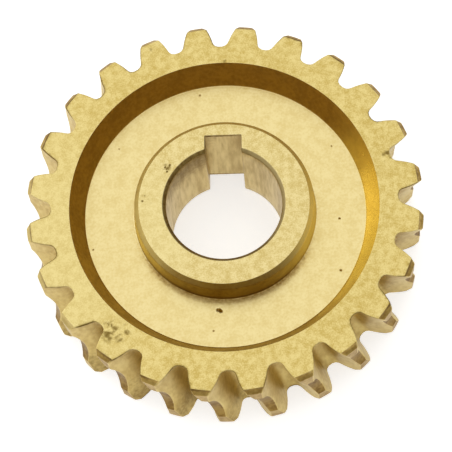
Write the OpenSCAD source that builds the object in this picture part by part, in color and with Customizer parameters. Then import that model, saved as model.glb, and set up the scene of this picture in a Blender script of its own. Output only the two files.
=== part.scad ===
// Worm wheel for a snow blower auger gearbox, cast and turned in one piece.
// The axis is +Z, the middle of the rim is at z = 0, and the keyway points to +Y.
// All sizes are in millimetres.

/* [Teeth] */
// Number of teeth
teeth = 24; // [20:1:32]
// Pitch of the worm along its axis, which is the tooth spacing on the pitch circle
worm_pitch = 10; // [8:0.5:12.5]
// Number of threads on the worm
worm_starts = 2; // [1:1:3]
// Pitch diameter of the worm
worm_d = 32; // [26:1:40]
// Pressure angle of the thread flanks
pressure_angle = 14.5; // [12:0.5:20]
// Height of the teeth above the pitch circle, in modules
addendum_factor = 1; // [0.8:0.05:1]
// Depth of the tooth spaces below the pitch circle, in modules
dedendum_factor = 1.25; // [1.1:0.05:1.35]
// Rounding at the bottom corners of the tooth spaces
root_round = 1; // [0.2:0.1:1.2]
// Turn from the keyway to the middle of the nearest tooth space
space_turn = 3.3; // [0:0.1:15]

/* [Rim] */
// Width of the rim across its two side faces
rim_w = 22; // [18:0.5:27]
// Rise of the plain side lands above the bottom of the throat
land_rise = 1.4; // [0.8:0.1:2]
// Chamfer on the outer edges of the teeth
edge_chamfer = 1; // [0.3:0.1:1.8]
// Metal between the recess and the tooth roots at the side faces
rim_wall = 4.2; // [3:0.2:6]
// Lean of the recess wall at the rim, outwards towards the side face
rim_draft = 24; // [5:1:28]

/* [Web] */
// Thickness of the web between the two recesses
web_t = 10; // [6:0.5:12]
// Fillet at the foot of the rim and of the hub
foot_fillet = 0.3; // [0.2:0.1:1.5]

/* [Hub] */
// Metal of the hub round the bore at its end faces
hub_wall = 5.9; // [5:0.1:8]
// Length of the hub, flush with the rim when it equals the rim width
hub_l = 22; // [18:0.5:27]
// Chamfer on the outer edges of the hub
hub_chamfer = 1; // [0.3:0.1:1.2]
// Lean of the hub wall below its chamfer, outwards towards the web
hub_draft = 4; // [2:1:12]

/* [Bore] */
// Diameter of the shaft bore
bore_d = 25; // [20:0.5:30]
// Chamfer at both ends of the bore
bore_chamfer = 0.8; // [0.3:0.1:1.2]
// Width of the keyway
key_w = 8; // [6:0.5:10]
// Depth of the keyway below the bore wall, at its middle
key_depth = 3.3; // [2:0.1:4]

/* [Hidden] */

// Meshing sizes. The wheel rolls on its pitch circle as a rack of the worm's pitch.
module_size = worm_pitch / PI;
pitch_r = teeth * module_size / 2;
worm_r = worm_d / 2;
worm_lead = worm_starts * worm_pitch;
centre_distance = pitch_r + worm_r;
// The hob has the worm's own thread, but its tips reach deeper by the tip clearance
hob_tip_r = worm_r + dedendum_factor * module_size;
// The rounding of a hob tip leaves a little of its flat, however narrow that is
hob_tip_half = worm_pitch / 4 - (hob_tip_r - worm_r) * tan(pressure_angle);
hob_tip_round = min(root_round, 0.8 * hob_tip_half);

// The throat is an arc about the worm's axis, and the side lands stand above it
throat_r = pitch_r + addendum_factor * module_size;
throat_arc_r = centre_distance - throat_r;
outer_r = throat_r + land_rise;

// Radii of the recesses, from the tooth roots at the side faces and from the bore
face_root_r = centre_distance - sqrt(pow(hob_tip_r, 2) - pow(rim_w / 2, 2));
recess_r = face_root_r - rim_wall;
recess_floor_r = recess_r - (rim_w - web_t) / 2 * tan(rim_draft);
bore_r = bore_d / 2;
hub_r = bore_r + hub_wall;
hub_edge_r = hub_r + hub_chamfer;
hub_foot_r = hub_edge_r + ((hub_l - web_t) / 2 - hub_chamfer) * tan(hub_draft);

// Steps of a tooth space: across the rim, up a flank, and of the rolling hob
layers = 8;
flank_steps = 6;
roll_steps = 40;
// Cutting forms run this far past the faces that they cut
overrun = 0.6;
space_top_r = (outer_r + overrun) / cos(180 / teeth);
$fn = 128;
fillet_fn = 24;

// Half the thickness of the hob's thread at a radius from the hob's axis. Its straight
// flanks lean by the pressure angle, and the corners of its tip are rounded.
function tip_relief(r) =
    let (past = max(0, r - (hob_tip_r - hob_tip_round)))
    hob_tip_round - sqrt(max(0, pow(hob_tip_round, 2) - past * past));
function thread_half(r) =
    worm_pitch / 4 - (r - worm_r) * tan(pressure_angle) - tip_relief(r);

// Place along the hob's axis of one flank of its thread, in the plane at height z and
// at the distance s from that axis towards the wheel. The thread winds round the hob,
// so it moves along by its lead for each turn. The side is 1 or -1.
function thread_flank(s, z, side) =
    side * thread_half(min(hob_tip_r, norm([s, z]))) + worm_lead * atan2(z, s) / 360;

// The thread rolls past the wheel's pitch circle as a rack does. Where it meets the
// radius r at the place x, it cuts up to this angle from the middle of the space.
function cut_angle(r, x, z, side) =
    let (rack_r = sqrt(max(0, r * r - x * x)))
    let (roll = x - thread_flank(centre_distance - rack_r, z, side))
    atan2(x, rack_r) - roll / pitch_r * 180 / PI;

// The finished flank lies where the rolling thread has cut furthest
function root_r(z) = centre_distance - sqrt(pow(hob_tip_r, 2) - z * z);
function space_edge(r, z, side) =
    let (reach = sqrt(max(0, r * r - pow(root_r(z), 2))))
    side * max([for (i = [0:roll_steps])
        side * cut_angle(r, reach * (2 * i / roll_steps - 1), z, side)]);

// Outline of a tooth space at height z, down one flank and up the other. The radii lie
// closer together near the root, where the flank curves most.
function space_radius(i, z) =
    root_r(z) + (space_top_r - root_r(z)) * pow(i / flank_steps, 1.5);
function space_point(i, z, side) =
    let (r = space_radius(i, z))
    let (a = space_edge(r, z, side))
    [r * sin(a), r * cos(a), z];
function space_outline(z) = concat(
    [for (i = [flank_steps:-1:0]) space_point(i, z, 1)],
    [for (i = [0:flank_steps]) space_point(i, z, -1)]);

// The solid that the hob takes out between two teeth, with its middle on +Y
module tooth_space() {
    half_w = rim_w / 2 + overrun;
    count = 2 * flank_steps + 2;
    points = [for (j = [0:layers]) each space_outline(half_w * (2 * j / layers - 1))];
    bottom = [for (i = [count - 1:-1:0]) i];
    top = [for (i = [0:count - 1]) layers * count + i];
    walls = [for (j = [0:layers - 1], i = [0:count - 1])
        let (next = (i + 1) % count, low = j * count, high = low + count)
        each [[low + i, low + next, high + i], [low + next, high + next, high + i]]];
    polyhedron(points, concat([bottom, top], walls));
}

// Upper halves of the turned outline, from the middle plane up
module web_outline() {
    translate([bore_r / 2, 0])
        square([recess_r - bore_r / 2, web_t / 2]);
}

module rim_outline() {
    polygon([
        [recess_floor_r, 0],
        [outer_r, 0],
        [outer_r, rim_w / 2 - edge_chamfer],
        [outer_r - edge_chamfer, rim_w / 2],
        [recess_r, rim_w / 2],
        [recess_floor_r, web_t / 2]
    ]);
}

module hub_outline() {
    polygon([
        [bore_r / 2, 0],
        [hub_foot_r, 0],
        [hub_foot_r, web_t / 2],
        [hub_edge_r, hub_l / 2 - hub_chamfer],
        [hub_r, hub_l / 2],
        [bore_r / 2, hub_l / 2]
    ]);
}

// Half section of the turned casting, with fillets at the feet and the throat cut in
module blank_outline() {
    difference() {
        offset(r = -foot_fillet, $fn = fillet_fn)
            offset(delta = foot_fillet)
                for (side = [0, 1])
                    mirror([0, side]) {
                        web_outline();
                        rim_outline();
                        hub_outline();
                    }
        translate([centre_distance, 0]) circle(throat_arc_r);
    }
}

module bore() {
    length = hub_l + 2 * overrun;
    cylinder(r = bore_r, h = length, center = true);
    for (side = [0, 1])
        mirror([0, 0, side])
            translate([0, 0, hub_l / 2 - bore_chamfer])
                cylinder(r1 = bore_r, r2 = bore_r + bore_chamfer + overrun,
                    h = bore_chamfer + overrun);
}

module keyway() {
    length = hub_l + 2 * overrun;
    translate([-key_w / 2, 0, -length / 2])
        cube([key_w, bore_r + key_depth, length]);
}

module worm_wheel() {
    color("goldenrod")
        difference() {
            rotate_extrude() blank_outline();
            for (k = [0:teeth - 1])
                rotate(space_turn + 360 * k / teeth) tooth_space();
            bore();
            keyway();
        }
}

worm_wheel();
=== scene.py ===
import math
import random
import bmesh
import bpy
import numpy as np
from mathutils import Matrix, Vector, noise
from mathutils.geometry import delaunay_2d_cdt


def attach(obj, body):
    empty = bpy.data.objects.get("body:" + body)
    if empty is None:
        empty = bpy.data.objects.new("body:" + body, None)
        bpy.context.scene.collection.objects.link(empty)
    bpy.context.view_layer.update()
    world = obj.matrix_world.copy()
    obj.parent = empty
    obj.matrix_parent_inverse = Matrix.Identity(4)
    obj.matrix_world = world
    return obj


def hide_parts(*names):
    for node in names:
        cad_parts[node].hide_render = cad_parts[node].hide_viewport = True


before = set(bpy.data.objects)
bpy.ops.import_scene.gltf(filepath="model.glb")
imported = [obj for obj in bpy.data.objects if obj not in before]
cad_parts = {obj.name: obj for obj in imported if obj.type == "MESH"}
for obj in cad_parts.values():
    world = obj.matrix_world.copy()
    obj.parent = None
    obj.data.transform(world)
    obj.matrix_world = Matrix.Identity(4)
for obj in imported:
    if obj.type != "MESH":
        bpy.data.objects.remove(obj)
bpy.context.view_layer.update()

draw = random.Random(24)
print("stage: frame loaded")

# The wheel, in millimetres and degrees. It is built in millimetres and scaled at the end.
wormWheel = {
    "teeth": 24,
    "pitch": 10.0,  # along the worm's axis
    "wormStarts": 2,
    "wormRadius": 16.0,
    "pressureAngle": 14.5,
    "addendum": 1.0,  # in modules, as is the dedendum
    "dedendum": 1.25,
    "rootRound": 1.0,
    "spaceTurn": 3.3,  # from the keyway to the nearest tooth space
    "halfWidth": 11.0,
    "landRise": 1.4,
    "edgeChamfer": 1.0,
    "rimWall": 4.2,
    "rimDraft": 24.0,
    "webHalf": 5.0,
    "hubWall": 5.9,
    "hubChamfer": 1.0,
    "hubDraft": 4.0,
    "boreRadius": 12.5,
    "boreChamfer": 0.8,
    "keyHalf": 4.0,
    "keyFloor": 15.8,
    "keyRound": 0.12,  # where the keyway's sides meet the bore
    "edgeBreak": (0.10, 0.24),  # where flanks meet the side faces
    "edgeDrop": 0.16,  # how far under the side face the broken edge starts
    "tipBreak": (0.18, 0.36),  # where flanks meet the tooth tips
    "burr": (-29.2, -26.6, 3.4),  # x, y and reach of a rolled edge, painted dark with dirt and edge shade
    "burrSize": 0.10,
    "waviness": 0.035,  # of the hobbed and cast surfaces
    "rimInset": 1.35,  # from the tooth roots to the circle where a side face starts
    "turnedGap": 0.78,  # between mesh points on the turned surfaces, at most
    "rimGap": 1.0,  # and down the rim
    "cornerWear": 0.4,
    "edgeShade": (0.1, 0.85),  # painted shade on the broken edges, least and most
    "burrDirtAndShade": 0.95,
    # painted shade high up in the bore
    "boreShadeAmount": 0.6,
    "footShadeAmount": 0.56,  # painted shade on the web, along the foot of the hub
    # painted shade on the rim, under its upper edge and low down
    "upperRimShade": 0.55,
    "lowerRimShade": 0.38,
}

# Marks on this wheel: x, y, radius and depth in millimetres, and how dark it is
webMarks = [
    (-1.3, -22.3, 0.55, 0.34, 1.0),
    (-1.9, -22.1, 0.38, 0.20, 0.8),
    (-2.8, -26.9, 0.30, 0.14, 0.7),
    (-28.8, -7.7, 0.32, 0.16, 0.6),
    (24.8, -2.1, 0.38, 0.20, 0.8),
    (24.6, -14.0, 0.36, 0.20, 0.7),
    (23.7, 15.1, 0.32, 0.16, 0.6),
    (-5.3, 28.5, 0.26, 0.12, 0.5),
    (-23.3, 16.0, 0.26, 0.12, 0.5),
]
faceMarks = [
    (-25.2, -26.5, 0.60, 0.10, 0.55),
    (-24.6, -26.7, 0.65, 0.12, 0.55),
    (-24.0, -26.9, 0.65, 0.12, 0.55),
    (-23.4, -27.2, 0.65, 0.10, 0.50),
    (0.7, 33.7, 0.60, 0.24, 0.35),
    (35.5, 10.5, 0.75, 0.16, 0.8),
    (34.7, 10.1, 0.80, 0.06, 0.5),
    (-15.7, 37.1, 0.60, 0.04, 0.5),
    (-17.5, 0.9, 0.30, 0.12, 0.6),
    (-17.0, 2.1, 0.26, 0.08, 0.4),
    (-15.7, 0.3, 0.28, 0.08, 0.4),
    (-12.6, 8.7, 0.32, 0.14, 0.8),
    (-12.3, 8.2, 0.34, 0.14, 0.8),
    (-11.9, 8.5, 0.32, 0.14, 0.8),
    (-11.6, 9.1, 0.32, 0.14, 0.8),
    (-12.2, 7.6, 0.30, 0.12, 0.7),
]
# Ragged patches where the face is bruised: x, y, radius, depth, and how dark it is
faceBruises = [
    (-24.2, -28.2, 3.4, 0.06, 0.72),
    (-22.0, -28.7, 3.0, 0.06, 0.72),
    (35.4, 9.6, 2.0, 0.03, 0.50),
    (-12.3, 8.5, 1.4, 0.03, 0.70),
    (-17.0, 1.2, 1.6, 0.02, 0.40),
]

pitchRadius = wormWheel["teeth"] * wormWheel["pitch"] / math.tau
moduleSize = wormWheel["pitch"] / math.pi
centreDistance = pitchRadius + wormWheel["wormRadius"]
lead = wormWheel["pitch"] * wormWheel["wormStarts"]
flankLean = math.tan(math.radians(wormWheel["pressureAngle"]))
hobRadius = wormWheel["wormRadius"] + wormWheel["dedendum"] * moduleSize
hobTipHalf = wormWheel["pitch"] / 4 - (hobRadius - wormWheel["wormRadius"]) * flankLean
hobRound = min(wormWheel["rootRound"], 0.8 * hobTipHalf)
throatRadius = pitchRadius + wormWheel["addendum"] * moduleSize
throatArc = centreDistance - throatRadius
landRadius = throatRadius + wormWheel["landRise"]
topZ = wormWheel["halfWidth"]
webZ = wormWheel["webHalf"]
toMetres = 0.001
pitchTurn = math.tau / wormWheel["teeth"]


def rootRadius(z):
    return centreDistance - math.sqrt(hobRadius ** 2 - z * z)


def leanOut(height, draft):
    return height * math.tan(math.radians(draft))


recessRadius = rootRadius(topZ) - wormWheel["rimWall"]
recessFloor = recessRadius - leanOut(topZ - webZ, wormWheel["rimDraft"])
hubRadius = wormWheel["boreRadius"] + wormWheel["hubWall"]
hubEdge = hubRadius + wormWheel["hubChamfer"]
hubFoot = hubEdge + leanOut(topZ - webZ - wormWheel["hubChamfer"], wormWheel["hubDraft"])
rimCircle = rootRadius(topZ) - wormWheel["rimInset"]


# Tooth spaces, cut by a hob with the worm's thread that rolls on the pitch circle
def threadHalf(r):
    past = max(0.0, r - (hobRadius - hobRound))
    relief = hobRound - math.sqrt(max(0.0, hobRound ** 2 - past * past))
    return wormWheel["pitch"] / 4 - (r - wormWheel["wormRadius"]) * flankLean - relief


def threadFlank(s, z, side):
    half = threadHalf(min(hobRadius, math.hypot(s, z)))
    return side * half + lead * math.atan2(z, s) / math.tau


def cutAngle(r, x, z, side):
    rackRadius = math.sqrt(max(0.0, r * r - x * x))
    roll = x - threadFlank(centreDistance - rackRadius, z, side)
    return math.atan2(x, rackRadius) - roll / pitchRadius


def spaceEdge(r, z, side, rolls=40):
    reach = math.sqrt(max(0.0, r * r - rootRadius(z) ** 2))
    places = [reach * (2 * i / rolls - 1) for i in range(rolls + 1)]
    return side * max(side * cutAngle(r, x, z, side) for x in places)


def onCircle(r, angle):
    return np.array((r * math.cos(angle), r * math.sin(angle)))


def softCorner(before, corner, after, steps):
    return [before * (1 - t) ** 2 + corner * 2 * t * (1 - t) + after * t * t for t in steps]


# Shares from 0 to 1 that lie closer together near 0, which is a tooth's root
def crowded(count, power=1.4):
    return [(i / (count - 1)) ** power for i in range(count)]


# One outline round all teeth at a height, 26 points from one root middle to the next
flankSteps = 8
tipSteps = 3
tableSteps = 19  # radii at which the hob's cut is worked out
toothPoints = 2 * flankSteps + tipSteps + 7
outerPoints = wormWheel["teeth"] * toothPoints
tipBreaks = [[draw.uniform(*wormWheel["tipBreak"]) for side in range(2)]
             for k in range(wormWheel["teeth"])]


def toothLoop(z, tipRadius):
    root = rootRadius(z)
    radii = [root + (tipRadius - root) * t for t in crowded(tableSteps)]
    lowEdge = [spaceEdge(r, z, -1) for r in radii]  # where the next tooth starts
    highEdge = [spaceEdge(r, z, 1) for r in radii]  # where the tooth before ends
    middle = (lowEdge[0] + highEdge[0]) / 2
    points = []
    for k in range(wormWheel["teeth"]):
        zero = math.pi / 2 + math.radians(wormWheel["spaceTurn"]) + pitchTurn * k
        ends = []
        for side, edge in ((0, lowEdge), (1, highEdge)):
            cut = tipBreaks[k][side]
            centre = zero + pitchTurn * side
            flankRadii = [root + (tipRadius - cut - root) * t for t in crowded(flankSteps)]
            flank = [onCircle(r, centre - float(np.interp(r, radii, edge))) for r in flankRadii]
            tipAngle = centre - edge[-1]
            inward = cut / tipRadius * (1 - 2 * side)
            ends.append((flank, onCircle(tipRadius, tipAngle), tipAngle + inward))
        (rise, riseCorner, riseTip), (fall, fallCorner, fallTip) = ends
        turns = [riseTip + (fallTip - riseTip) * i / (tipSteps + 1) for i in range(tipSteps + 2)]
        tips = [onCircle(tipRadius, turn) for turn in turns]
        points.append(onCircle(root, zero - middle))
        points += rise
        points += softCorner(rise[-1], riseCorner, tips[0], (1 / 3, 2 / 3, 1))
        points += tips[1:-1]
        points += softCorner(tips[-1], fallCorner, fall[-1], (0, 1 / 3, 2 / 3))
        points += fall[::-1]
    return np.array(points)


def insetLoop(points, distance):
    along = np.roll(points, -1, axis=0) - np.roll(points, 1, axis=0)
    along /= np.linalg.norm(along, axis=1)[:, None]
    return points + np.stack((-along[:, 1], along[:, 0]), axis=1) * distance[:, None]


def ring(r, z, count):
    angles = math.pi / 2 + math.tau * np.arange(count) / count
    return np.column_stack((r * np.cos(angles), r * np.sin(angles), np.full(count, z)))


# A path of (radius, height, fillet) becomes points no further apart than the gap, each
# with a 1 where it lies on a rounded corner. A point close to each end of a corner keeps
# the shading of the flats beside it.
def turnedPath(path, gap, steps=4, close=0.08):
    points = []
    for i, (r, z, fillet) in enumerate(path):
        here = np.array((r, z, 0.0))
        if fillet == 0:
            points.append(here)
            continue
        before = np.array(path[i - 1][:2]) - here[:2]
        after = np.array(path[i + 1][:2]) - here[:2]
        before /= np.linalg.norm(before)
        after /= np.linalg.norm(after)
        halfTurn = math.acos(float(np.clip(before @ after, -1, 1))) / 2
        reach = fillet / math.tan(halfTurn)
        start, end = here[:2] + before * reach, here[:2] + after * reach
        corner = softCorner(start, here[:2], end, [s / steps for s in range(steps + 1)])
        points.append(np.append(start + before * close, 0.0))
        points += [np.append(p, 1.0) for p in corner]
        points.append(np.append(end + after * close, 0.0))
    spaced = [points[0]]
    for a, b in zip(points, points[1:]):
        count = max(1, math.ceil(np.linalg.norm((b - a)[:2]) / gap))
        spaced += [a + (b - a) * (s + 1) / count for s in range(count)]
    return spaced


# The bore with its keyway, 312 points from the middle of the keyway's floor
innerPoints = outerPoints // 2
floorSteps = 15
sideSteps = 5


def boreLoop(r, z, spread=0.0):
    half = wormWheel["keyHalf"] + spread
    floor = wormWheel["keyFloor"] + spread
    soft = wormWheel["keyRound"]
    mouth = math.sqrt(r * r - half * half)
    left = [(-half * i / floorSteps, floor) for i in range(floorSteps + 1)]
    left += [(-half, floor + (mouth - floor) * i / sideSteps) for i in range(1, sideSteps + 1)]
    left[-1] = (-half, mouth + soft)
    arcCount = innerPoints - 2 * len(left) + 1
    start = math.atan2(mouth, -half) + soft / r
    end = math.atan2(mouth, half) + math.tau - soft / r
    turns = [start + (end - start) * i / (arcCount - 1) for i in range(arcCount)]
    arc = [tuple(onCircle(r, turn)) for turn in turns]
    right = [(-x, y) for x, y in left[:0:-1]]
    points = np.array(left + arc + right)
    return np.column_stack((points, np.full(len(points), z)))


def blendLoops(inner, outer, t):
    # goes round in polar steps, so that rings between the bore and a circle don't cross
    angles = [np.unwrap(np.arctan2(p[:, 1], p[:, 0])) for p in (inner, outer)]
    radii = [np.hypot(p[:, 0], p[:, 1]) for p in (inner, outer)]
    angle = angles[0] * (1 - t) + angles[1] * t
    radius = radii[0] * (1 - t) + radii[1] * t
    height = np.full(len(inner), inner[0, 2])
    return np.column_stack((radius * np.cos(angle), radius * np.sin(angle), height))


# 0 to 1 as a value goes from its start over a width
def comeIn(value, start, width):
    return np.clip((value - start) / width, 0, 1)


# Painted shade: the bore is darker high up on the left of the keyway
def paintedBoreShade(points):
    left = (points[:, 1] - points[:, 0]) / np.hypot(points[:, 0], points[:, 1]) / math.sqrt(2)
    high = comeIn(points[:, 2], start=-1, width=8)
    return wormWheel["boreShadeAmount"] * comeIn(left, start=0.7, width=0.25) * high


# Painted shade: the web is brown along the foot of the hub on the near side, where it mirrors the
# dark hub wall
def paintedFootShade(r, z, count):
    if z > webZ + 0.4 or r < hubFoot - 0.1:
        return np.zeros(count)
    toward = -np.sin(math.pi / 2 + math.tau * np.arange(count) / count)
    near = comeIn(toward, start=0.1, width=0.6)
    return near * wormWheel["footShadeAmount"] * (1 - comeIn(r - hubFoot, start=0.1, width=1.9))


# Loops are (points, finish of the strip before it, edge wear, painted shade). The inner ones
# go from the bore over the hub and web to the rim, the outer ones down round the teeth.
finishes = ["turnedFace", "hubFace", "turnedWeb", "recessWall", "hubWall", "boreWall",
            "boreChamfer", "hobbedTooth", "turnedRim", "throatFloor"]
hubRings = 6


def innerLoops():
    chamferRadius = wormWheel["boreRadius"] + wormWheel["boreChamfer"]
    chamferZ = topZ - wormWheel["boreChamfer"]
    made = [
        (boreLoop(wormWheel["boreRadius"], chamferZ - 0.12), "boreWall", 0.3, 0),
        (boreLoop(wormWheel["boreRadius"] + 0.05, chamferZ + 0.03), "boreWall", 0.6, 0),
        (boreLoop(chamferRadius - 0.50, topZ - 0.50), "boreChamfer", 0, 0),
        (boreLoop(chamferRadius - 0.14, topZ - 0.14), "boreChamfer", 0.4, 0),
        (boreLoop(chamferRadius - 0.03, topZ - 0.04, 0.05), "boreChamfer", 0.6, 0),
        (boreLoop(chamferRadius + 0.05, topZ, 0.13), "hubFace", 0.5, 0),
        (boreLoop(chamferRadius + 0.14, topZ, 0.21), "hubFace", 0, 0),
    ]
    mouth = made[-1][0]
    path = turnedPath([
        (hubRadius - 0.6, topZ, 0),
        (hubRadius, topZ, 0.12),
        (hubEdge, topZ - wormWheel["hubChamfer"], 0.25),
        (hubFoot, webZ, 0.3),
        (recessFloor, webZ, 0.3),
        (recessRadius, topZ, 0.12),
        (rimCircle, topZ, 0),
    ], wormWheel["turnedGap"])
    circle = ring(path[0][0], topZ, innerPoints)
    for i in range(1, hubRings):
        made.append((blendLoops(mouth, circle, i / hubRings), "hubFace", 0, 0))
    for r, z, rounded in path:
        onHub = r < (hubFoot + recessFloor) / 2
        wall, face = ("hubWall", "hubFace") if onHub else ("recessWall", "turnedFace")
        finish = face if z > topZ - 0.01 else "turnedWeb" if z < webZ + 0.02 else wall
        wear = wormWheel["cornerWear"] * rounded if z > webZ + 1 else 0
        made.append((ring(r, z, innerPoints), finish, wear, paintedFootShade(r, z, innerPoints)))
    return made


throatTop = math.sqrt(throatArc ** 2 - (centreDistance - landRadius) ** 2)
throatRows = 8
tipColumns = range(flankSteps + 2, flankSteps + tipSteps + 5)
onTip = np.array([i % toothPoints in tipColumns for i in range(outerPoints)])


# Painted shade: the rim is darker under its upper edge, and low down on the left, less so on the
# tips
def paintedRimShade(points, z):
    upper = wormWheel["upperRimShade"] * (1 - comeIn(topZ - z, start=0, width=1.2))
    lower = wormWheel["lowerRimShade"] * comeIn(1 - z, start=0, width=8)
    left = comeIn(points @ (-0.77, -0.64) / np.hypot(*points.T), start=0.3, width=0.5)
    cloud = [0.15 * noise.noise(Vector((x * 0.5, y * 0.5, z * 0.3))) for x, y in points]
    offTip = np.where(onTip, 0.3, 1.0)
    return np.clip((upper + lower * (0.25 + 0.75 * left)) * offTip + np.array(cloud), 0, 0.7)


def outerLoops():
    chamfer = wormWheel["edgeChamfer"]
    path = [
        (landRadius - chamfer / 2, topZ - chamfer / 2, 0),
        (landRadius, topZ - chamfer, 0.16),
        (landRadius, throatTop, 0.12),
    ]
    arcZ = [throatTop * (1 - i / throatRows) for i in range(1, throatRows + 1)]
    path += [(centreDistance - math.sqrt(throatArc ** 2 - z * z), z, 0) for z in arcZ]
    half = turnedPath(path, wormWheel["rimGap"], 2)
    made = []
    for r, z, rounded in half + [np.array((r, -z, rounded)) for r, z, rounded in half[-2::-1]]:
        points = toothLoop(z, r)
        wear = np.where(onTip & bool(rounded), wormWheel["cornerWear"], 0.0)
        for column in (tipColumns[0] - 1, tipColumns[0], tipColumns[-1], tipColumns[-1] + 1):
            wear[column::toothPoints] = wormWheel["cornerWear"]
        loop = np.column_stack((points, np.full(outerPoints, z)))
        made.append((loop, wear, paintedRimShade(points, z), abs(z) < throatTop))
    return made


# The broken edge between the flanks and a side face, from the flank to the face
def edgeLoops(sign):
    turns = np.arange(outerPoints) * math.tau / outerPoints
    spots = [Vector((math.cos(a) * 9, math.sin(a) * 9, 3.0 * sign)) for a in turns]
    wander = np.array([noise.noise(spot) for spot in spots])
    low, high = wormWheel["edgeBreak"]
    size = low + (high - low) * np.clip(0.5 + wander, 0, 1)
    drop = wormWheel["edgeDrop"]
    edge = toothLoop(sign * (topZ - drop), landRadius - wormWheel["edgeChamfer"] + drop)
    # Painted shade along the broken edges, with dirt and shade together at the rolled edge
    grimeAndShade = np.clip(wander * 1.6 + 0.45, *wormWheel["edgeShade"])
    if sign > 0:
        x, y, reach = wormWheel["burr"]
        burr = np.clip(1.6 - 1.6 * np.hypot(edge[:, 0] - x, edge[:, 1] - y) / reach, 0, 1)
        size = size + wormWheel["burrSize"] * burr
        grimeAndShade = np.maximum(grimeAndShade, wormWheel["burrDirtAndShade"] * burr)
    made = []
    for degrees in (0, 30, 60, 90):
        c, s = math.cos(math.radians(degrees)), math.sin(math.radians(degrees))
        shrink = insetLoop(edge, size * (1 - c))
        points = np.column_stack((shrink, sign * (topZ - size * (1 - s))))
        wear = 0.3 if degrees in (0, 90) else 0.5
        made.append((points, wear, grimeAndShade if degrees < 90 else grimeAndShade * 0.5))
    return made


vertices = []
faces = []
faceFinish = []
edgeWear = []
dirtAndShade = []


def addLoop(points, wear=0.0, grimeAndShade=0.0):
    start = len(vertices)
    vertices.extend(points.tolist())
    edgeWear.extend(np.broadcast_to(wear, len(points)).tolist())
    dirtAndShade.extend(np.broadcast_to(grimeAndShade, len(points)).tolist())
    return start


# The names of the finishes repeat along the strip
def addStrip(a, b, count, names):
    for i in range(count):
        n = (i + 1) % count
        faces.append((a + i, b + i, b + n, a + n))
        faceFinish.append(finishes.index(names[i % len(names)]))


def insideLoop(points, loop, clear=0.3):
    # even-odd test, and a distance from the loop's own points
    ax, ay = loop[:, 0], loop[:, 1]
    bx, by = np.roll(ax, -1), np.roll(ay, -1)
    kept = []
    for x, y in points:
        crossing = (ay > y) != (by > y)
        share = (y - ay[crossing]) / (by[crossing] - ay[crossing])
        at = ax[crossing] + share * (bx[crossing] - ax[crossing])
        if np.count_nonzero(at > x) % 2 and np.min((ax - x) ** 2 + (ay - y) ** 2) > clear ** 2:
            kept.append((x, y))
    return kept


# Slightly shaken rings of points, to fill a side face
def gridPoints(rows=9, start=0.55, rise=0.62, gap=0.68, shift=0.12, turn=0.2):
    grid = []
    for row in range(rows):
        r = rimCircle + start + rise * row
        count = int(math.tau * r / gap)
        for i in range(count):
            spot = r + draw.uniform(-shift, shift)
            angle = math.tau * (i + draw.uniform(-turn, turn)) / count
            grid.append(tuple(onCircle(spot, angle)))
    return grid


# A side face of the rim between its inner circle and the tooth outline
def fillFace(innerStart, outerStart, sign):
    inner = np.array(vertices[innerStart:innerStart + innerPoints])
    outer = np.array(vertices[outerStart:outerStart + outerPoints])
    grid = insideLoop(gridPoints(), outer)
    coords = [Vector(p[:2]) for p in (*outer, *inner, *grid)]
    edges = [(i, (i + 1) % outerPoints) for i in range(outerPoints)]
    edges += [(outerPoints + i, outerPoints + (i + 1) % innerPoints) for i in range(innerPoints)]
    spots, _, triangles, sources, _, _ = delaunay_2d_cdt(coords, edges, [], 1, 1e-7)
    first = addLoop(np.array([(x, y, sign * topZ) for x, y in grid]))
    number = []
    for source in sources:
        i = source[0]
        if i < outerPoints:
            number.append(outerStart + i)
        elif i < outerPoints + innerPoints:
            number.append(innerStart + i - outerPoints)
        else:
            number.append(first + i - outerPoints - innerPoints)
    for triangle in triangles:
        a, b, c = (spots[i] for i in triangle)
        if ((a + b + c) / 3).length < rimCircle - 0.002:
            continue
        corners = [number[i] for i in triangle]
        if ((b - a).cross(c - a) > 0) != (sign > 0):
            corners.reverse()
        faces.append(tuple(corners))
        faceFinish.append(finishes.index("turnedFace"))


inner = innerLoops()
inner[0] = (*inner[0][:3], paintedBoreShade(inner[0][0]))
tops = [addLoop(points, wear, grimeAndShade) for points, _, wear, grimeAndShade in inner]
bottoms = [addLoop(points * np.array((1, 1, -1)), wear) for points, _, wear, _ in inner]
for i in range(1, len(inner)):
    addStrip(tops[i - 1], tops[i], innerPoints, [inner[i][1]])
    addStrip(bottoms[i], bottoms[i - 1], innerPoints, [inner[i][1]])
boreHeight = inner[0][0][0, 2]
boreSteps = 10
below = bottoms[0]
for i in range(1, boreSteps):
    points = boreLoop(wormWheel["boreRadius"], boreHeight * (2 * i / boreSteps - 1))
    here = addLoop(points, 0, paintedBoreShade(points))
    addStrip(below, here, innerPoints, ["boreWall"])
    below = here
addStrip(below, tops[0], innerPoints, ["boreWall"])


def toothFinish(tip, flank):
    return [tip if i in tipColumns[:-1] else flank for i in range(toothPoints)]


outer = outerLoops()
topEdge = [addLoop(*loop) for loop in edgeLoops(1)]
bottomEdge = [addLoop(*loop) for loop in edgeLoops(-1)]
chain = topEdge[::-1] + [addLoop(*loop[:3]) for loop in outer] + bottomEdge
inThroat = [False] * len(topEdge) + [loop[3] for loop in outer] + [False] * len(bottomEdge)
for i, (a, b) in enumerate(zip(chain, chain[1:])):
    if i < 2 or i > len(chain) - 4:  # the two strips of a broken edge next to a side face
        finish = toothFinish("turnedRim", "turnedFace")
    else:
        tip = "throatFloor" if inThroat[i] or inThroat[i + 1] else "turnedRim"
        finish = toothFinish(tip, "hobbedTooth")
    addStrip(a, b, outerPoints, finish)
fillFace(tops[-1], topEdge[-1], 1)
fillFace(bottoms[-1], bottomEdge[-1], -1)
print("stage: wheel outlines,", len(vertices), "points and", len(faces), "faces")


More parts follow.
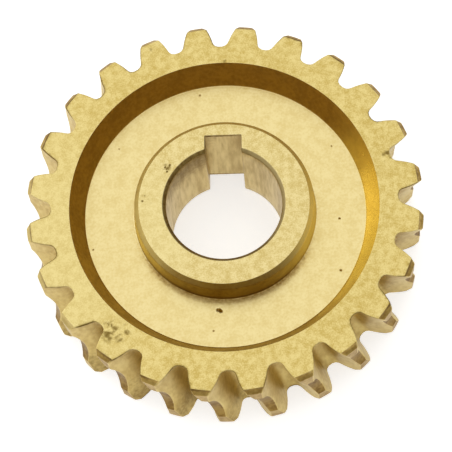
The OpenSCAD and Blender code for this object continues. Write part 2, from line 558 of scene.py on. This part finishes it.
# Hobbed and cast surfaces wander a little, always into the metal
def roughSurfaces(mesh, wander):
    normals = np.zeros(len(mesh.vertices) * 3)
    mesh.vertex_normals.foreach_get("vector", normals)
    normals = normals.reshape(-1, 3)
    roughFaces = np.zeros(len(mesh.vertices))  # how many of them meet at a point
    for polygon in mesh.polygons:
        if finishes[polygon.material_index] in ("hobbedTooth", "recessWall", "hubWall"):
            for i in polygon.vertices:
                roughFaces[i] += 1
    for i, vertex in enumerate(mesh.vertices):
        if roughFaces[i] >= 4 or (roughFaces[i] and abs(vertex.co.z) < topZ - 0.4):
            inward = 0.5 + 0.5 * noise.noise(vertex.co * 0.9) + 0.35 * noise.noise(vertex.co * 2.3)
            vertex.co -= Vector(normals[i]) * wander * max(0.0, inward)


onFace = 0.02  # how near to its face a point lies that a mark may move


# Divides the edges of a face that a test on their middle and length picks, twice over
def divideFace(shape, height, picks):
    for level in range(2):
        near = []
        for e in shape.edges:
            middle = (e.verts[0].co + e.verts[1].co) / 2
            flat = all(abs(v.co.z - height) < onFace for v in e.verts)
            if flat and picks(middle, e.calc_length()):
                near.append(e)
        bmesh.ops.subdivide_edges(shape, edges=near, cuts=1, use_grid_fill=True)


def addMarks(shape, marks, height, reach=1.5, steep=0.34):
    wearLayer = shape.verts.layers.float["edgeWear"]
    dirtLayer = shape.verts.layers.float["dirtAndShade"]
    divideFace(shape, height, lambda middle, length: any(
        math.hypot(middle.x - x, middle.y - y) < radius * reach + 0.3
        for x, y, radius, _, _ in marks))
    for x, y, radius, depth, dark in marks:
        edge = 4 if depth > steep * radius else 2  # shallow marks fade out
        for v in shape.verts:
            if abs(v.co.z - height) > onFace:
                continue
            away = math.hypot(v.co.x - x, v.co.y - y)
            if away > radius * reach:
                continue
            cloud = noise.noise(Vector((v.co.x * 2.2, v.co.y * 2.2, x)))
            t = away / (radius * (1 + 0.6 * cloud))
            if t < 1:
                v.co.z -= depth * (1 - t * t) ** 1.5
                v[dirtLayer] = max(v[dirtLayer], dark * (1 - t ** edge))
            v[wearLayer] = max(v[wearLayer], 0.4 * (1 - min(1, abs(t - 1.05) / 0.3)))


def addBruises(shape, bruises, height, longest=0.34):
    dirtLayer = shape.verts.layers.float["dirtAndShade"]
    divideFace(shape, height, lambda middle, length: length > longest and any(
        math.hypot(middle.x - x, middle.y - y) < radius for x, y, radius, _, _ in bruises))
    for x, y, radius, depth, dark in bruises:
        for v in shape.verts:
            t = math.hypot(v.co.x - x, v.co.y - y) / radius
            if t >= 1 or abs(v.co.z - height) > onFace:
                continue
            cloud = noise.noise(Vector((v.co.x * 0.8, v.co.y * 1.1, x)))
            cloud += 0.3 * noise.noise(Vector((v.co.x * 2.0, v.co.y * 2.6, y)))
            share = min(1.0, max(0.0, cloud * 1.8 + 0.4)) * (1 - t * t)
            v.co.z -= depth * share
            v[dirtLayer] = max(v[dirtLayer], dark * share)


def makeWheel():
    mesh = bpy.data.meshes.new("wormWheel")
    mesh.from_pydata(vertices, [], faces)
    mesh.polygons.foreach_set("material_index", faceFinish)
    for name, values in (("edgeWear", edgeWear), ("dirtAndShade", dirtAndShade)):
        mesh.attributes.new(name, "FLOAT", "POINT").data.foreach_set("value", values)
    mesh.update()
    roughSurfaces(mesh, wormWheel["waviness"])
    shape = bmesh.new()
    shape.from_mesh(mesh)
    addBruises(shape, faceBruises, topZ)
    addMarks(shape, webMarks, webZ)
    addMarks(shape, faceMarks, topZ)
    shape.to_mesh(mesh)
    shape.free()
    mesh.transform(Matrix.Scale(toMetres, 4))
    mesh.shade_smooth()
    mesh.set_sharp_from_angle(angle=math.radians(42))
    wheel = bpy.data.objects.new("wormWheel", mesh)
    bpy.context.scene.collection.objects.link(wheel)
    return wheel


wheel = makeWheel()
print("stage: wheel mesh,", len(wheel.data.polygons), "faces")


# Materials
# An sRGB colour as the linear values that the shaders take
def tint(red, green, blue):
    values = [v / 255 for v in (red, green, blue)]
    return (*[v / 12.92 if v <= 0.04045 else ((v + 0.055) / 1.055) ** 2.4 for v in values], 1.0)


def place(tree, kind, sockets=None, **settings):
    node = tree.nodes.new(kind)
    for name, value in settings.items():
        setattr(node, name, value)
    for socket, value in (sockets or {}).items():
        if isinstance(value, bpy.types.NodeSocket):
            tree.links.new(value, node.inputs[socket])
        else:
            node.inputs[socket].default_value = value
    return node


def calc(tree, operation, *values, clamp=False):
    sockets = dict(enumerate(values))
    return place(tree, "ShaderNodeMath", sockets, operation=operation, use_clamp=clamp).outputs[0]


def blend(tree, factor, a, b):
    return place(tree, "ShaderNodeMix", {0: factor, 6: a, 7: b}, data_type="RGBA").outputs[2]


def spread(tree, value, low, high):
    sockets = {"Value": value, "From Min": low, "From Max": high}
    return place(tree, "ShaderNodeMapRange", sockets, interpolation_type="SMOOTHSTEP").outputs[0]


def cloudAt(tree, where, scale, detail):
    sockets = {"Vector": where, "Scale": scale, "Detail": detail}
    return place(tree, "ShaderNodeTexNoise", sockets).outputs[0]


def splitUp(tree, vector):
    return place(tree, "ShaderNodeSeparateXYZ", {"Vector": vector}).outputs


def joinUp(tree, x, y, z):
    return place(tree, "ShaderNodeCombineXYZ", {0: x, 1: y, 2: z}).outputs[0]


def vectorCalc(tree, operation, a, b=(0.0, 0.0, 0.0)):
    return place(tree, "ShaderNodeVectorMath", {0: a, 1: b}, operation=operation).outputs


def newGroup(name, inputs, outputs):
    tree = bpy.data.node_groups.new(name, "ShaderNodeTree")
    for label, (kind, value) in inputs.items():
        socket = tree.interface.new_socket(label, in_out="INPUT", socket_type="NodeSocket" + kind)
        socket.default_value = value
    for label, kind in outputs.items():
        tree.interface.new_socket(label, in_out="OUTPUT", socket_type="NodeSocket" + kind)
    start = tree.nodes.new("NodeGroupInput")
    end = tree.nodes.new("NodeGroupOutput")
    return tree, start.outputs, end.inputs


def objectPlace(tree):
    return place(tree, "ShaderNodeTexCoord").outputs["Object"]


# Cloudy change between a clean and a stained colour
def makeMottle():
    tree, given, result = newGroup("mottle", {
        "Clean Color": ("Color", (1, 1, 1, 1)),
        "Stained Color": ("Color", (0.5, 0.4, 0.2, 1)),
        "Scale": ("Float", 300.0),
        "Amount": ("Float", 0.5),
        "Offset": ("Float", 0.0),
        "Axial": ("Float", 1.0),
    }, {"Color": "Color", "Mask": "Float"})
    x, y, z = splitUp(tree, objectPlace(tree))
    where = joinUp(tree, x, y, calc(tree, "MULTIPLY", z, given["Axial"]))
    broad = place(tree, "ShaderNodeTexNoise", {
        "Vector": where, "W": given["Offset"], "Scale": given["Scale"], "Detail": 4.0,
        "Roughness": 0.6,
    }, noise_dimensions="4D").outputs[0]
    fine = cloudAt(tree, where, calc(tree, "MULTIPLY", given["Scale"], 4.7), detail=3.0)
    mixed = calc(tree, "ADD", calc(tree, "MULTIPLY", broad, 0.55),
                 calc(tree, "MULTIPLY", fine, 0.45))
    cloud = spread(tree, mixed, low=0.38, high=0.64)
    mask = calc(tree, "MULTIPLY", cloud, given["Amount"], clamp=True)
    tree.links.new(mask, result["Mask"])
    color = blend(tree, mask, given["Clean Color"], given["Stained Color"])
    tree.links.new(color, result["Color"])
    return tree


# Fine grooves round the axis that a lathe tool leaves
def makeTurningMarks():
    tree, given, result = newGroup("turningMarks", {
        "Spacing": ("Float", 0.0003),
        "Along Axis": ("Float", 0.0),
    }, {"Height": "Float"})
    x, y, z = splitUp(tree, objectPlace(tree))
    squares = [calc(tree, "POWER", part, 2.0) for part in (x, y)]
    radius = calc(tree, "SQRT", calc(tree, "ADD", *squares))
    axial = calc(tree, "MULTIPLY", z, given["Along Axis"])
    across = calc(tree, "DIVIDE", calc(tree, "ADD", radius, axial), given["Spacing"])
    around = [calc(tree, "MULTIPLY", calc(tree, "DIVIDE", part, radius), 0.8) for part in (x, y)]
    height = cloudAt(tree, joinUp(tree, across, *around), scale=1.0, detail=2.0)
    tree.links.new(height, result["Height"])
    return tree


# Straight scores along the axis that the broach and reamer leave
def makeAxialScores():
    tree, given, result = newGroup("axialScores", {
        "Density": ("Float", 1500.0),
    }, {"Height": "Float"})
    x, y, z = splitUp(tree, objectPlace(tree))
    where = joinUp(tree, x, y, calc(tree, "MULTIPLY", z, 0.03))
    height = cloudAt(tree, where, given["Density"], detail=3.0)
    tree.links.new(height, result["Height"])
    return tree


# Small dark specks, and thin scratches from handling
def makeHandling():
    tree, given, result = newGroup("handlingMarks", {
        "Specks": ("Float", 0.2),
        "Scratches": ("Float", 0.3),
    }, {"Mask": "Float", "Height": "Float"})
    where = objectPlace(tree)
    sockets = {"Vector": where, "Scale": 420.0, "Randomness": 1.0}
    cells = place(tree, "ShaderNodeTexVoronoi", sockets).outputs
    chosen = place(tree, "ShaderNodeSeparateColor", {"Color": cells["Color"]}).outputs[0]
    outside = spread(tree, cells["Distance"], low=0.04, high=0.13)
    rare = calc(tree, "LESS_THAN", chosen, given["Specks"])
    specks = calc(tree, "MULTIPLY", calc(tree, "SUBTRACT", 1.0, outside), rare)
    lines = []
    for angle, shift in ((0.5, 0.0), (2.1, 3.7)):
        turned = place(tree, "ShaderNodeMapping", {
            "Vector": where, "Location": (shift, 0.0, 0.0), "Rotation": (0.0, 0.0, angle),
            "Scale": (90.0, 2400.0, 90.0),
        }).outputs[0]
        streak = cloudAt(tree, turned, scale=1.0, detail=1.0)
        lines.append(spread(tree, streak, low=0.70, high=0.78))
    scratches = calc(tree, "MULTIPLY", calc(tree, "MAXIMUM", *lines), given["Scratches"])
    mask = calc(tree, "MAXIMUM", specks, scratches, clamp=True)
    tree.links.new(mask, result["Mask"])
    tree.links.new(calc(tree, "SUBTRACT", 1.0, mask), result["Height"])
    return tree


# Rubbed edges go bright, pits go dark with dirt, and corners and edges go dark with painted shade,
# from values kept on the mesh
def makeWearDirtAndShade():
    tree, given, result = newGroup("wearDirtAndShade", {
        "Color": ("Color", (1, 1, 1, 1)),
        "Rubbed Color": ("Color", (1, 0.9, 0.6, 1)),
        "Dirt And Shade Color": ("Color", (0.05, 0.03, 0.01, 1)),
        "Rubbed": ("Float", 0.5),
        "Dirt And Shade": ("Float", 0.8),
    }, {"Color": "Color", "Dirt And Shade Mask": "Float"})
    where = objectPlace(tree)
    ragged = calc(tree, "SUBTRACT", cloudAt(tree, where, scale=1400.0, detail=3.0), 0.5)
    edge = place(tree, "ShaderNodeAttribute", attribute_name="edgeWear").outputs["Fac"]
    grimeAndShade = place(tree, "ShaderNodeAttribute", attribute_name="dirtAndShade").outputs["Fac"]
    rubbed = spread(tree, calc(tree, "ADD", edge, ragged), low=0.25, high=0.85)
    rubbed = calc(tree, "MULTIPLY", rubbed, given["Rubbed"], clamp=True)
    grimyAndShaded = calc(tree, "ADD", grimeAndShade, calc(tree, "MULTIPLY", ragged, 0.5))
    grimyAndShaded = spread(tree, grimyAndShaded, low=0.1, high=0.8)
    grimyAndShaded = calc(tree, "MULTIPLY", grimyAndShaded, given["Dirt And Shade"], clamp=True)
    color = blend(tree, rubbed, given["Color"], given["Rubbed Color"])
    tree.links.new(blend(tree, grimyAndShaded, color, given["Dirt And Shade Color"]), result["Color"])
    tree.links.new(grimyAndShaded, result["Dirt And Shade Mask"])
    return tree


# Painted light: a mask for the side of the wheel that light falls on, about a direction from the
# axis, where a lighter colour is laid
def makePaintedSideLight():
    tree, given, result = newGroup("paintedSideLight", {
        "Direction": ("Vector", (1, 0, 0)),
        "From": ("Float", 0.0),
        "To": ("Float", 1.0),
        "Raggedness": ("Float", 0.3),
    }, {"Mask": "Float"})
    where = objectPlace(tree)
    flat = vectorCalc(tree, "MULTIPLY", where, (1.0, 1.0, 0.0))[0]
    unit = vectorCalc(tree, "NORMALIZE", flat)[0]
    toward = vectorCalc(tree, "DOT_PRODUCT", unit, given["Direction"])["Value"]
    cloud = cloudAt(tree, where, scale=160.0, detail=4.0)
    shifted = calc(tree, "MULTIPLY", calc(tree, "SUBTRACT", cloud, 0.5), given["Raggedness"])
    value = calc(tree, "ADD", toward, shifted)
    tree.links.new(spread(tree, value, given["From"], given["To"]), result["Mask"])
    return tree


groups = {
    "mottle": makeMottle(),
    "turning": makeTurningMarks(),
    "scores": makeAxialScores(),
    "handling": makeHandling(),
    "wearAndShade": makeWearDirtAndShade(),
    "sideLight": makePaintedSideLight(),
}


def useGroup(tree, name, sockets):
    return place(tree, "ShaderNodeGroup", sockets, node_tree=groups[name]).outputs


# Finishes of the bronze. Colours are sRGB, grooves and bumps are in metres. Each one
# starts from the common values, or from those of a cast wall.
commonFinish = {
    "scale": 260.0, "amount": 0.8, "axial": 1.0, "offset": 1.0, "rubbedAmount": 0.5,
    "dirtAndShade": tint(112, 84, 42), "dirtAndShadeAmount": 0.7, "roughness": 0.42, "vary": 0.14,
    "specks": 0.2, "scratches": 0.2, "grooves": "turning", "spacing": 0.00035, "along": 1.0,
    "bump": 0.000010,
    "markColor": 0.45,  # how far specks and scratches take the stain's colour
    "markHeight": 0.8,
    "dirtAndShadeRough": 0.3,
    "edgeTint": (1.0, 1.0, 1.0, 1.0),  # colour at a grazing angle
}
castWall = {
    **commonFinish, "rubbedAmount": 0.4, "dirtAndShadeAmount": 0.5, "vary": 0.10, "specks": 0.1,
    "scratches": 0.1, "spacing": 0.00040, "along": 2.0, "edgeTint": tint(250, 243, 200),
}
# Where a finish has a lighter colour for one side, that is painted light: the side that the light
# falls on is made lighter.
bronze = {
    "turnedFace": {
        **commonFinish, "color": tint(229, 209, 138), "stain": tint(202, 175, 91),
        "scale": 700.0, "amount": 0.85, "rubbed": tint(240, 224, 166), "rubbedAmount": 0.3,
        "dirtAndShade": tint(142, 116, 50), "dirtAndShadeAmount": 0.9, "roughness": 0.40, "vary": 0.10,
        "scratches": 0.35, "spacing": 0.00022, "along": 0.0,
        "litSide": {"color": tint(236, 220, 156), "direction": (-0.97, -0.26, 0.0),
                  "from": 0.55, "to": 1.05, "smoother": 0.0, "strength": 0.4},
    },
    "turnedWeb": {
        **commonFinish, "color": tint(231, 213, 152), "stain": tint(214, 190, 120),
        "scale": 420.0, "amount": 0.6, "offset": 1.4, "rubbed": tint(240, 224, 166),
        "rubbedAmount": 0.2, "dirtAndShade": tint(142, 100, 10), "dirtAndShadeAmount": 1.0,
        "roughness": 0.30, "vary": 0.06, "specks": 0.1, "scratches": 0.15, "along": 0.0,
        "bump": 0.000014,
    },
    "recessWall": {
        **castWall, "color": tint(172, 135, 60), "stain": tint(148, 111, 44),
        "rubbed": tint(190, 160, 86),
        "litSide": {"color": tint(230, 202, 110), "direction": (0.99, -0.14, 0.0),
                  "from": 0.62, "to": 1.0, "smoother": 0.20, "strength": 1.0},
    },
    "hubWall": {
        **castWall, "color": tint(152, 114, 38), "stain": tint(126, 88, 26), "amount": 0.7,
        "offset": 1.4, "rubbed": tint(196, 172, 96), "bump": 0.000014,
        "litSide": {"color": tint(238, 213, 128), "direction": (0.0, 1.0, 0.0),
                  "from": -1.05, "to": -0.40, "smoother": 0.0, "strength": 1.0},
    },
    "boreWall": {
        **commonFinish, "color": tint(216, 193, 129), "stain": tint(170, 142, 80),
        "amount": 0.7, "axial": 0.16, "offset": 0.6, "rubbed": tint(236, 222, 170),
        "rubbedAmount": 0.2, "dirtAndShadeAmount": 0.6, "roughness": 0.36, "vary": 0.12,
        "specks": 0.15, "scratches": 0.1, "grooves": "scores", "spacing": 1500.0,
        "bump": 0.000006,
    },
    "boreChamfer": {
        **commonFinish, "color": tint(170, 144, 82), "stain": tint(126, 96, 46),
        "amount": 0.9, "rubbed": tint(226, 206, 146),
        "litSide": {"color": tint(208, 188, 132), "direction": (0.97, 0.25, 0.0),
                  "from": 0.2, "to": 0.9, "smoother": 0.0, "strength": 0.8},
    },
    "hobbedTooth": {
        **commonFinish, "color": tint(210, 187, 118), "stain": tint(180, 151, 84),
        "scale": 220.0, "amount": 0.6, "axial": 0.6, "offset": 0.5,
        "rubbed": tint(232, 214, 156), "dirtAndShadeAmount": 0.8, "roughness": 0.44, "vary": 0.12,
        "scratches": 0.15, "grooves": "scores", "spacing": 700.0, "bump": 0.000005,
    },
    "throatFloor": {
        **commonFinish, "color": tint(152, 123, 60), "stain": tint(112, 80, 32),
        "scale": 220.0, "rubbed": tint(226, 206, 150),
    },
    "turnedRim": {
        **commonFinish, "color": tint(182, 152, 82), "stain": tint(142, 110, 52),
        "rubbed": tint(230, 212, 156),
        "litSide": {"color": tint(206, 184, 118), "direction": (-0.97, -0.26, 0.0),
                  "from": 0.78, "to": 1.0, "smoother": 0.0, "strength": 1.0},
    },
}
bronze["hubFace"] = {
    **bronze["turnedFace"], "color": tint(233, 215, 153), "stain": tint(208, 184, 110),
}


def makeBronze(name, look):
    material = bpy.data.materials.new(name)
    material.use_nodes = True
    tree = material.node_tree
    shader = tree.nodes["Principled BSDF"]
    mottle = useGroup(tree, "mottle", {
        "Clean Color": look["color"], "Stained Color": look["stain"], "Scale": look["scale"],
        "Amount": look["amount"], "Offset": look["offset"], "Axial": look["axial"],
    })
    color = mottle["Color"]
    rough = calc(tree, "MULTIPLY_ADD", mottle["Mask"], look["vary"], look["roughness"])
    # Painted light: a lighter colour on the side of the surface that the light falls on
    if "litSide" in look:
        litSide = look["litSide"]
        mask = useGroup(tree, "sideLight", {
            "Direction": litSide["direction"], "From": litSide["from"], "To": litSide["to"],
        })["Mask"]
        share = calc(tree, "MULTIPLY", mask, litSide["strength"])
        color = blend(tree, share, color, litSide["color"])
        rough = calc(tree, "SUBTRACT", rough, calc(tree, "MULTIPLY", mask, litSide["smoother"]))
    handling = useGroup(tree, "handling", {
        "Specks": look["specks"], "Scratches": look["scratches"],
    })
    marked = calc(tree, "MULTIPLY", handling["Mask"], look["markColor"])
    color = blend(tree, marked, color, look["stain"])
    wearAndShade = useGroup(tree, "wearAndShade", {
        "Color": color, "Rubbed Color": look["rubbed"], "Dirt And Shade Color": look["dirtAndShade"],
        "Rubbed": look["rubbedAmount"], "Dirt And Shade": look["dirtAndShadeAmount"],
    })
    rough = calc(tree, "MULTIPLY_ADD", wearAndShade["Dirt And Shade Mask"], look["dirtAndShadeRough"], rough)
    tree.links.new(wearAndShade["Color"], shader.inputs["Base Color"])
    tree.links.new(rough, shader.inputs["Roughness"])
    shader.inputs["Metallic"].default_value = 1.0
    shader.inputs["Specular Tint"].default_value = look["edgeTint"]
    if look["grooves"] == "turning":
        sockets = {"Spacing": look["spacing"], "Along Axis": look["along"]}
        grooves = useGroup(tree, "turning", sockets)
    else:
        grooves = useGroup(tree, "scores", {"Density": look["spacing"]})
    marks = calc(tree, "MULTIPLY", handling["Height"], look["markHeight"])
    height = calc(tree, "ADD", grooves["Height"], marks)
    sockets = {"Height": height, "Strength": 1.0, "Distance": look["bump"]}
    bump = place(tree, "ShaderNodeBump", sockets)
    tree.links.new(bump.outputs["Normal"], shader.inputs["Normal"])
    return material


for name in finishes:
    wheel.data.materials.append(makeBronze(name, bronze[name]))
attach(wheel, "root")
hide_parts("worm_wheel")
print("stage: bronze finishes")

# Floor, light and camera
studio = {
    "floorColor": (0.80, 0.80, 0.80, 1.0),
    "floorSize": 3.0,
    "floorRoughness": 0.9,
    "floorSpecular": 0.1,
    "paperGlow": 0.62,  # what brings the paper up to white where nothing shades it
    "lightColor": (1.0, 1.0, 1.0, 1.0),  # of the world and of that glow
    "worldLow": 0.50,  # brightness at the horizon
    "worldHigh": 0.68,  # and overhead
    "worldRise": 0.9,  # how far up it reaches that
    "worldSides": (-0.26, 0.14, 0.0),  # how it rises to the left and the far side
    "lamps": [  # name, place in metres, size in metres, watts
        ("overhead", (-0.05, 0.25, 0.80), 1.2, 1.7),
        ("leftSide", (-0.70, 0.35, 0.50), 0.5, 0.8),
    ],
}


def makeFloor():
    half = studio["floorSize"] / 2
    mesh = bpy.data.meshes.new("floor")
    corners = [(-half, -half), (half, -half), (half, half), (-half, half)]
    mesh.from_pydata([(x, y, -topZ * toMetres) for x, y in corners], [], [(0, 1, 2, 3)])
    floor = bpy.data.objects.new("floor", mesh)
    bpy.context.scene.collection.objects.link(floor)
    material = bpy.data.materials.new("floorPaper")
    material.use_nodes = True
    tree = material.node_tree
    shader = tree.nodes["Principled BSDF"]
    shader.inputs["Base Color"].default_value = studio["floorColor"]
    shader.inputs["Roughness"].default_value = studio["floorRoughness"]
    shader.inputs["Specular IOR Level"].default_value = studio["floorSpecular"]
    rays = place(tree, "ShaderNodeLightPath").outputs
    seen = calc(tree, "MAXIMUM", rays["Is Camera Ray"], rays["Is Glossy Ray"])
    seen = calc(tree, "MAXIMUM", seen, rays["Is Transmission Ray"])
    glow = calc(tree, "MULTIPLY", seen, studio["paperGlow"])
    tree.links.new(glow, shader.inputs["Emission Strength"])
    shader.inputs["Emission Color"].default_value = studio["lightColor"]
    mesh.materials.append(material)


def makeLight():
    world = bpy.data.worlds.new("studio")
    bpy.context.scene.world = world
    world.use_nodes = True
    tree = world.node_tree
    background = tree.nodes["Background"]
    direction = place(tree, "ShaderNodeTexCoord").outputs["Generated"]
    tilt = vectorCalc(tree, "DOT_PRODUCT", direction, studio["worldSides"])["Value"]
    low = calc(tree, "ADD", tilt, studio["worldLow"])
    rise = spread(tree, splitUp(tree, direction)[2], 0.0, studio["worldRise"])
    change = calc(tree, "SUBTRACT", studio["worldHigh"], low)
    strength = calc(tree, "MULTIPLY_ADD", rise, change, low)
    background.inputs["Color"].default_value = studio["lightColor"]
    tree.links.new(strength, background.inputs["Strength"])
    for name, spot, size, power in studio["lamps"]:
        lamp = bpy.data.lights.new(name, "AREA")
        lamp.shape = "DISK"
        lamp.size = size
        lamp.energy = power
        holder = bpy.data.objects.new(name, lamp)
        holder.location = spot
        holder.rotation_euler = (-Vector(spot)).to_track_quat("-Z", "Y").to_euler()
        bpy.context.scene.collection.objects.link(holder)


# The camera stands where the photograph's perspective and the tilt of its edges put it
photoView = {
    "place": (0.01522, -0.14034, 0.35974),
    "azimuth": 6.27,
    "elevation": 68.731,
    "roll": -7.553,
    "lens": 139.75,
    "sensor": 36.0,
    "clip": (0.01, 10.0),
}


def makeCamera():
    lens = bpy.data.cameras.new("photoCamera")
    lens.lens = photoView["lens"]
    lens.sensor_width = photoView["sensor"]
    lens.clip_start, lens.clip_end = photoView["clip"]
    tilt = Matrix.Rotation(math.radians(90 - photoView["elevation"]), 4, "X")
    turn = Matrix.Rotation(math.radians(photoView["azimuth"]), 4, "Z")
    roll = Matrix.Rotation(math.radians(photoView["roll"]), 4, "Z")
    camera = bpy.data.objects.new("photoCamera", lens)
    camera.matrix_world = Matrix.Translation(photoView["place"]) @ turn @ tilt @ roll
    bpy.context.scene.collection.objects.link(camera)
    bpy.context.scene.camera = camera


makeFloor()
makeLight()
makeCamera()
bpy.context.scene.view_settings.view_transform = "Standard"
print("stage: studio and camera")

bpy.context.view_layer.update()
